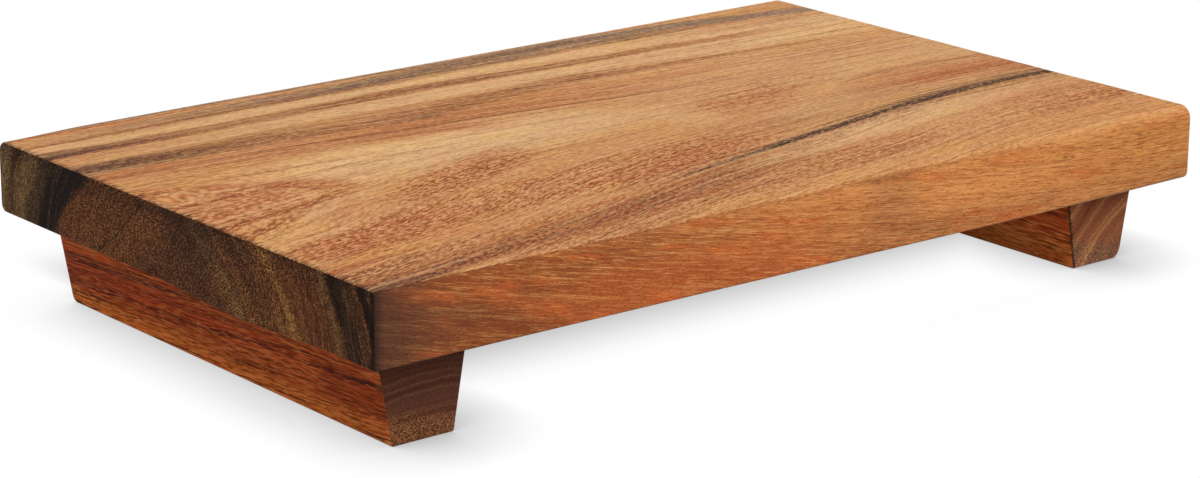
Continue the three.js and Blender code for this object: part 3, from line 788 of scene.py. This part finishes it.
def foot_material(name, centre_x, look):
    """Red-brown long grain of a foot, with dark lines along it and a golden lower edge."""
    material, tree = new_material(name)
    x, y, z = surface_place(tree)
    facing = surface_fields(tree, "Normal")[0]
    place = (y, x, z)
    start = (look.seed, 0.0, 0.0)
    level = z + swaying(place, FOOT_WAVE, start) + y * look.rise + (x - centre_x) * 0.35
    edge = level + swaying(place, FOOT_STRAND, start)
    paint = Paint(FOOT_TONES, "red")
    paint.lay(ramp(edge, 15, 19), "flame")
    paint.lay(ramp(edge, 9, 4), "gold")
    # dark lines, fine lines, fibres and pores
    for height, half, strength in look.lines:
        mask = ramp(abs(edge - height), half * 1.5, half * 0.4) * strength
        paint.lay(mask, "dark")
    lines = grained((level, y, look.seed), FOOT_LINES)
    paint.lay(ramp(lines, 0.51, 0.61) * look.plain, "dark")
    paint.lay(ramp(lines, 0.48, 0.36) * 0.6, "flame")
    fibre = grained((y, x, level), FOOT_FIBRE, start)
    dashed = ramp(edge, 14, 4, 0.45, 1.0)
    paint.tint(ramp(fibre, 0.50, 0.60) * dashed * 0.9, DARKER)
    paint.lay(ramp(fibre, 0.49, 0.38) * dashed, "wheat")
    pore = ramp(grained(place, FOOT_PORE, start), *PORES)
    paint.tint(pore * 0.25, DARKEST)
    # painted light on the side to the left, which lifts the shade under the plank; duskier towards the
    # front, lighter along the table, and ruddy
    left_side_light = ramp(facing, 0.2, -0.2) * ramp(y, -84, -62, 0.1, 1.0)
    paint.tint(left_side_light * look.bright, PAINTED_LIGHT_TINT)
    paint.tint(ramp(y, -48, -62) * within(z, FOOT_DUSK) * look.dusk, DARKER)
    lighter_low = ramp(z + (fibre - 0.5) * 6, 6, 2) * ramp(y, -75, -50, 0.2, 1.0) * look.dusk
    paint.tint(lighter_low * 0.8, PALER_LOW)
    paint.tint(within(z, FOOT_RUDDY) * look.dusk, RUDDY)
    # painted shade on the side to the right, which faces the key light
    paint.lay(ramp(facing, 0.3, 0.8) * 0.6, "outer_shade")
    wood_shader(tree, paint, fibre * 0.5 - pore, fibre, FOOT_SATIN)
    return material


def foot_end_material(name, centre_x, look):
    """End grain of a foot: arcs of growth rings, speckled towards the table."""
    material, tree = new_material(name)
    place = surface_place(tree)
    x = place[0]
    z = place[2]
    start = (0.0, 0.0, look.seed)
    aside = x - centre_x
    drift = swaying(place, FOOT_END_DRIFT, start)
    low = ramp(z + drift + aside * 0.15, 10, 4)
    paint = Paint(FOOT_TONES, look.upper)
    paint.lay(low, look.lower)
    ring = length_of(aside - look.heart[0], z - look.heart[1]) + drift
    rings = grained((ring, look.seed, 0.0), Grain((look.spacing, 1, 1), 0.0, 3.0, 0.6))
    paint.tint(ramp(rings, 0.50, 0.64) * 0.6, DARKER)
    paint.lay(ramp(rings, 0.49, 0.36) * look.streak, FOOT_END_TAN)
    speck = grained(place, FOOT_END_SPECK, start)
    rough = low * look.grit + 0.25
    paint.tint(ramp(speck, 0.50, 0.62) * rough, GRITTY)
    paint.tint(ramp(speck, 0.49, 0.37) * rough, DARKEST)
    from_left_edge = aside + FOOT_BOTTOM_WIDTH / 2 + z * FOOT_SPREAD
    rim = ramp(from_left_edge + (speck - 0.5) * 2.5, 1.5, 0.6)
    paint.lay(rim * look.rim, "black")
    wood_shader(tree, paint, rings * 0.3 + speck, rings, FOOT_END_SATIN)
    return material


def plug_material():
    material, tree = new_material("plug_face_grain")
    x, y, z = surface_place(tree)
    fibre = grained((y, x, z), PLUG_FIBRE)
    paint = Paint(PLUG_TONES, "light")
    paint.lay(ramp(fibre, *NOISE_SPREAD), "dark")
    pore = ramp(grained((y, x, z), PLUG_PORE), *PORES)
    paint.tint(pore * 0.5, PITTED)
    wood_shader(tree, paint, fibre * 0.4 - pore, fibre, PLUG_SATIN)
    return material


def steel_material():
    material, tree = new_material("zinc_plated_steel")
    place = surface_place(tree)
    shown(made(tree, "BsdfPrincipled", {
        "Base Color": blended(grained(place, STEEL_CLOUD), *STEEL_TONES),
        "Metallic": 1.0,
        "Roughness": ramp(grained(place, STEEL_SCRATCH), *NOISE_SPREAD, *STEEL_ROUGHNESS),
    }))
    return material


def side_points(start, end, count):
    """Points between two corners, with one close to each end to keep the side flat."""
    span = (end - start).length
    margin = SUPPORT_MARGIN / span
    shares = [margin] + [step / count for step in range(1, count)] + [1 - margin]
    return [start.lerp(end, share) for share in shares]


def rounded_section(low, high, radii, counts):
    """A rectangle in a plane with its own radius at each corner, from the lower left one round."""
    corners = ((low.x, low.y), (high.x, low.y), (high.x, high.y), (low.x, high.y))
    inward = ((1, 1), (-1, 1), (-1, -1), (1, -1))
    arcs = []
    for index, (corner, turn, radius) in enumerate(zip(corners, inward, radii)):
        centre = Vector(corner) + Vector(turn) * radius
        first = math.pi + index * math.pi / 2
        steps = [first + step * math.pi / 2 / CORNER_STEPS for step in range(CORNER_STEPS + 1)]
        arcs.append([centre + Vector((math.cos(a), math.sin(a))) * radius for a in steps])
    points = []
    for index, arc in enumerate(arcs):
        following = arcs[(index + 1) % len(arcs)]
        points += arc
        points += side_points(arc[-1], following[0], counts[index % 2])
    return points


def cut_flat(shape):
    """Cuts the many-sided faces of a mesh into well-shaped triangles."""
    many_sided = [face for face in shape.faces if len(face.verts) > QUAD]
    bmesh.ops.triangulate(shape, faces=many_sided, quad_method="BEAUTY", ngon_method="BEAUTY")


def loft(name, sections):
    """A closed solid through sections of equal counts of points, in millimetres."""
    count = len(sections[0])
    points = [Vector(point) * MM for section in sections for point in section]
    faces = []
    for ring in range(len(sections) - 1):
        for corner in range(count):
            low = ring * count + corner
            following = ring * count + (corner + 1) % count
            faces.append((low, following, following + count, low + count))
    caps = (list(range(count))[::-1], list(range(len(points) - count, len(points))))
    mesh = bpy.data.meshes.new(name)
    mesh.from_pydata(points, [], faces + list(caps))
    shape = bmesh.new()
    shape.from_mesh(mesh)
    bmesh.ops.recalc_face_normals(shape, faces=shape.faces)
    for face in shape.faces:
        face.smooth = len(face.verts) <= QUAD
    cut_flat(shape)
    shape.to_mesh(mesh)
    shape.free()
    piece = bpy.data.objects.new(name, mesh)
    bpy.context.scene.collection.objects.link(piece)
    return piece


def turned(name, centre, profile):
    """A solid turned about a vertical line, from pairs of radius and height."""
    turns = [step * 2 * math.pi / HOLE_SIDES for step in range(HOLE_SIDES)]
    sections = []
    for radius, height in profile:
        ring = [(centre.x + radius * math.cos(a), centre.y + radius * math.sin(a), height) for a in turns]
        sections.append(ring)
    return loft(name, sections)


def drilled(piece, cutters):
    """Takes turned cutters out of a piece, and removes them."""
    for cutter in cutters:
        modifier = piece.modifiers.new("drill", "BOOLEAN")
        modifier.object = cutter
        modifier.solver = "EXACT"
    bpy.context.view_layer.update()
    result = bpy.data.meshes.new_from_object(piece.evaluated_get(bpy.context.evaluated_depsgraph_get()))
    piece.modifiers.clear()
    shape = bmesh.new()
    shape.from_mesh(result)
    bmesh.ops.remove_doubles(shape, verts=shape.verts, dist=SLIVER * MM)
    bmesh.ops.dissolve_degenerate(shape, dist=SLIVER * MM, edges=shape.edges)
    cut_flat(shape)
    shape.to_mesh(result)
    shape.free()
    piece.data = result
    result.name = piece.name
    for cutter in cutters:
        bpy.data.objects.remove(cutter)
    return piece


def finished(piece, node, materials, pick):
    """Gives a piece its materials, soft shading and place in the frame."""
    for material in materials:
        piece.data.materials.append(material)
    for polygon in piece.data.polygons:
        polygon.material_index = pick(polygon)
    piece.data.set_sharp_from_angle(angle=SHARP_ANGLE)
    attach(piece, "root")
    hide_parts(node)


def eased(value, pair):
    """A number that leaves the first of a pair slowly and reaches the second one slowly."""
    return pair[0] + (pair[1] - pair[0]) * value * value * (3 - 2 * value)


def section_places(length, first_ease, last_ease, count):
    """Places along a piece for its sections, each with how far the rounded ends draw it in there."""
    places = [(first_ease + SUPPORT_MARGIN, 0.0), (length - last_ease - SUPPORT_MARGIN, 0.0)]
    places += [(length * step / count, 0.0) for step in range(1, count)]
    for step in range(EASE_STEPS + 1):
        angle = step * math.pi / 2 / EASE_STEPS
        places.append((first_ease * (1 - math.cos(angle)), first_ease * (1 - math.sin(angle))))
        places.append((length - last_ease * (1 - math.cos(angle)), last_ease * (1 - math.sin(angle))))
    return sorted(places)


def plank_radii(share, inset):
    late = max(0.0, (share - LATE_START) / (1 - LATE_START))
    early = min(1.0, share / EARLY_END)
    radii = (
        eased(late, FRONT_BOTTOM_RADIUS), eased(share, BACK_BOTTOM_RADIUS),
        eased(early, BACK_TOP_RADIUS), eased(share, FRONT_TOP_RADIUS))
    return [max(LEAST_RADIUS, radius - inset * EASE_LOSS) for radius in radii]


def uneven(x, y, z):
    """A point of the plank, moved by its belly, its droop and its sanding wave."""
    place = x - plank_low.x
    depth = (plank_high.z - z) / plank_thickness
    reach = max(0.0, 1 - abs(y - BELLY_CENTRE) / BELLY_REACH)
    z -= BELLY_DROP * eased(reach, (0, 1)) * max(0.0, 1 - place / BELLY_FADE) * depth
    near_front = max(0.0, 1 - (y - plank_low.y) / FRONT_DROOP_REACH)
    z -= FRONT_DROOP * eased(place / plank_length, (0, 1)) * eased(near_front, (0, 1)) * depth
    cells = [value / size for value, size in zip((x, y, z), SANDING_LENGTHS)]
    wave = noise.noise(Vector(cells)) * SANDING_WAVE
    z += wave if depth < SANDED_SHARE else 0
    y += wave * max(0.0, 1 - 2 * abs(depth - 0.5))
    return x, y, z


def pilot_hole(node):
    low, high = node_box(node)
    radius = SHANK_RADIUS + PILOT_CLEARANCE
    profile = (
        (radius, plank_low.z - CUT_MARGIN), (radius, high.z), (TIP_RADIUS, high.z + TIP_CLEARANCE))
    return turned("cutter", (low + high) / 2, profile)


def stepped_hole(node, foot_low, foot_high):
    """Cutter of a screw's hole in a foot: the plug's bore, the head's seat and the shank's hole."""
    low, high = node_box(node)
    plug_low, plug_high = node_box(node.replace("screw", "plug"))
    bore = (plug_high.x - plug_low.x) / 2 + PLUG_CLEARANCE
    head = (high.x - low.x) / 2 + SEAT_CLEARANCE
    shank = SHANK_RADIUS + SHANK_CLEARANCE
    rim = low.z + BORE_PAST_HEAD
    profile = (
        (bore, foot_low.z - CUT_MARGIN), (bore, rim), (head, rim),
        (shank, low.z + SEAT_DEPTH), (shank, foot_high.z + CUT_MARGIN))
    return turned("cutter", (low + high) / 2, profile)


def make_plank():
    sections = []
    for place, inset in section_places(plank_length, LEFT_END_EASE, RIGHT_END_EASE, PLANK_STATIONS):
        low = Vector((plank_low.y + inset, plank_low.z + inset))
        high = Vector((plank_high.y - inset, plank_high.z - inset))
        outline = rounded_section(low, high, plank_radii(place / plank_length, inset), PLANK_SIDE_POINTS)
        sections.append([uneven(plank_low.x + place, y, z) for y, z in outline])
    piece = loft("serving_plank", sections)
    return drilled(piece, [pilot_hole(node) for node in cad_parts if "_screw_" in node])


def make_foot(side):
    low, high = node_box(f"{side}_foot")
    shape = FOOT_SHAPES[side]
    middle = (low.x + high.x) / 2
    taper = 1 - FOOT_BOTTOM_WIDTH / (high.x - low.x)
    radii = (shape.left, shape.right, LEAST_RADIUS, LEAST_RADIUS)
    sections = []
    for place, lift in section_places(high.y - low.y, shape.front, shape.back, FOOT_STATIONS):
        near = Vector((low.x, low.z + lift))
        far = Vector((high.x, high.z))
        section = []
        for x, z in rounded_section(near, far, radii, FOOT_SIDE_POINTS):
            depth = (high.z - z) / (high.z - low.z)
            section.append((middle + (x - middle) * (1 - taper * depth), low.y + place, z))
        sections.append(section)
    piece = loft(f"{side}_tapered_foot", sections)
    screws = [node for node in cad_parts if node.startswith(f"{side}_foot_screw")]
    return drilled(piece, [stepped_hole(node, low, high) for node in screws])


def make_plug(node):
    low, high = node_box(node)
    radius = (high.x - low.x) / 2
    profile = [(radius * share, low.z + height) for share, height in PLUG_DOME]
    profile += [(radius - inset, low.z + height) for inset, height in PLUG_RIM]
    profile += [(radius, high.z - PLUG_CHAMFER), (radius - PLUG_CHAMFER, high.z)]
    return turned(node.replace("plug", "wood_plug"), (low + high) / 2, profile)


def plank_face(polygon):
    if polygon.normal.x < LEFT_END_FACING:
        return 1
    return 2 if polygon.normal.x > RIGHT_END_FACING else 0


def foot_face(polygon):
    return int(abs(polygon.normal.y) > FOOT_END_FACING)


def make_pieces():
    """The plank, the feet and the plugs. The screws stay as they are, in steel."""
    plank_materials = [
        plank_material(), end_material("plank_left_end_grain", LEFT_END_STROKES),
        end_material("plank_right_end_grain", RIGHT_END_STROKES)]
    finished(make_plank(), "top_plank", plank_materials, plank_face)
    for side, look in FOOT_LOOKS.items():
        low, high = node_box(f"{side}_foot")
        centre_x = (low.x + high.x) / 2
        foot_materials = [
            foot_material(f"{side}_foot_long_grain", centre_x, look),
            foot_end_material(f"{side}_foot_end_grain", centre_x, look)]
        finished(make_foot(side), f"{side}_foot", foot_materials, foot_face)
    plug_wood = plug_material()
    screw_steel = steel_material()
    for node, cad_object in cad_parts.items():
        if "_plug_" in node:
            finished(make_plug(node), node, [plug_wood], lambda polygon: 0)
        elif "_screw_" in node:
            cad_object.data.materials.clear()
            cad_object.data.materials.append(screw_steel)


def floor_shade(tree):
    """Brightness of the floor, 1 where nothing stands near."""
    x, y = surface_place(tree)[:2]
    lean = made(tree, "CombineXYZ", dict(enumerate(CONTACT_LEAN.normalized())))
    values = {"Distance": CONTACT_REACH * MM, "Normal": lean}
    openness = made(tree, "AmbientOcclusion", values, "AO", samples=CONTACT_SAMPLES)
    contact = 1 - (1 - openness) * CONTACT_SHADE
    sheltered = ramp(y, *SHELTER_FRONT) * ramp(y, *SHELTER_BACK) * ramp(abs(x), *SHELTER_ENDS)
    return contact.apply("MINIMUM", 1 - sheltered * SHELTER_SHADE)


def make_floor():
    """The floor: shaded white to the camera, pale to reflections, grey to the light that it throws back."""
    half = FLOOR_SIZE / 2
    corners = [(-half, -half, 0), (half, -half, 0), (half, half, 0), (-half, half, 0)]
    mesh = bpy.data.meshes.new("floor")
    mesh.from_pydata(corners, [], [(0, 1, 2, 3)])
    floor = bpy.data.objects.new("floor", mesh)
    bpy.context.scene.collection.objects.link(floor)
    material, tree = new_material("pale_floor")
    camera_ray, glossy_ray, clear_ray = [
        made(tree, "LightPath", {}, f"Is {kind} Ray") for kind in ("Camera", "Glossy", "Transmission")]
    mirror_ray = glossy_ray.apply("MAXIMUM", clear_ray)
    grey = (FLOOR_REFLECTANCE,) * 3 + (1.0,)
    light_grey = (1 - MIRRORED_GLOW,) * 3 + (1.0,)
    plain = made(tree, "BsdfDiffuse", {"Color": grey})
    matt = made(tree, "BsdfDiffuse", {"Color": light_grey})
    mirrored = made(tree, "AddShader", {0: matt, 1: made(tree, "Emission", {"Strength": MIRRORED_GLOW})})
    unseen = made(tree, "MixShader", {0: mirror_ray, 1: plain, 2: mirrored})
    seen = made(tree, "Emission", {"Strength": floor_shade(tree)})
    shown(made(tree, "MixShader", {0: camera_ray, 1: unseen, 2: seen}))
    mesh.materials.append(material)


def make_light(scene):
    world = bpy.data.worlds.new("studio")
    world.use_nodes = True
    background = world.node_tree.nodes["Background"]
    background.inputs["Color"].default_value = (1.0, 1.0, 1.0, 1.0)
    background.inputs["Strength"].default_value = WORLD_LIGHT
    scene.world = world
    key = bpy.data.lights.new("key", "SUN")
    key.energy = KEY_STRENGTH
    key.angle = KEY_ANGLE
    key_lamp = bpy.data.objects.new("key", key)
    key_lamp.rotation_euler = KEY_DIRECTION.to_track_quat("Z", "Y").to_euler()
    scene.collection.objects.link(key_lamp)


def make_camera(scene):
    level = math.cos(CAMERA_ELEVATION)
    back = Vector((
        math.sin(CAMERA_AZIMUTH) * level, -math.cos(CAMERA_AZIMUTH) * level, math.sin(CAMERA_ELEVATION)))
    right = Vector((math.cos(CAMERA_AZIMUTH), math.sin(CAMERA_AZIMUTH), 0.0))
    up = back.cross(right)
    camera_right = right * math.cos(CAMERA_ROLL) + up * math.sin(CAMERA_ROLL)
    camera_up = up * math.cos(CAMERA_ROLL) - right * math.sin(CAMERA_ROLL)
    camera = bpy.data.objects.new("camera", bpy.data.cameras.new("camera"))
    camera.data.sensor_fit = "HORIZONTAL"
    camera.data.sensor_width = SENSOR_WIDTH
    camera.data.lens = FOCAL_PIXELS / PHOTO_WIDTH * SENSOR_WIDTH
    turn = Matrix((camera_right, camera_up, back)).transposed().to_4x4()
    camera.matrix_world = Matrix.Translation(CAMERA_TARGET + back * CAMERA_DISTANCE) @ turn
    scene.collection.objects.link(camera)
    scene.camera = camera


make_pieces()
make_floor()
make_light(bpy.context.scene)
make_camera(bpy.context.scene)
bpy.context.scene.view_settings.view_transform = "Standard"
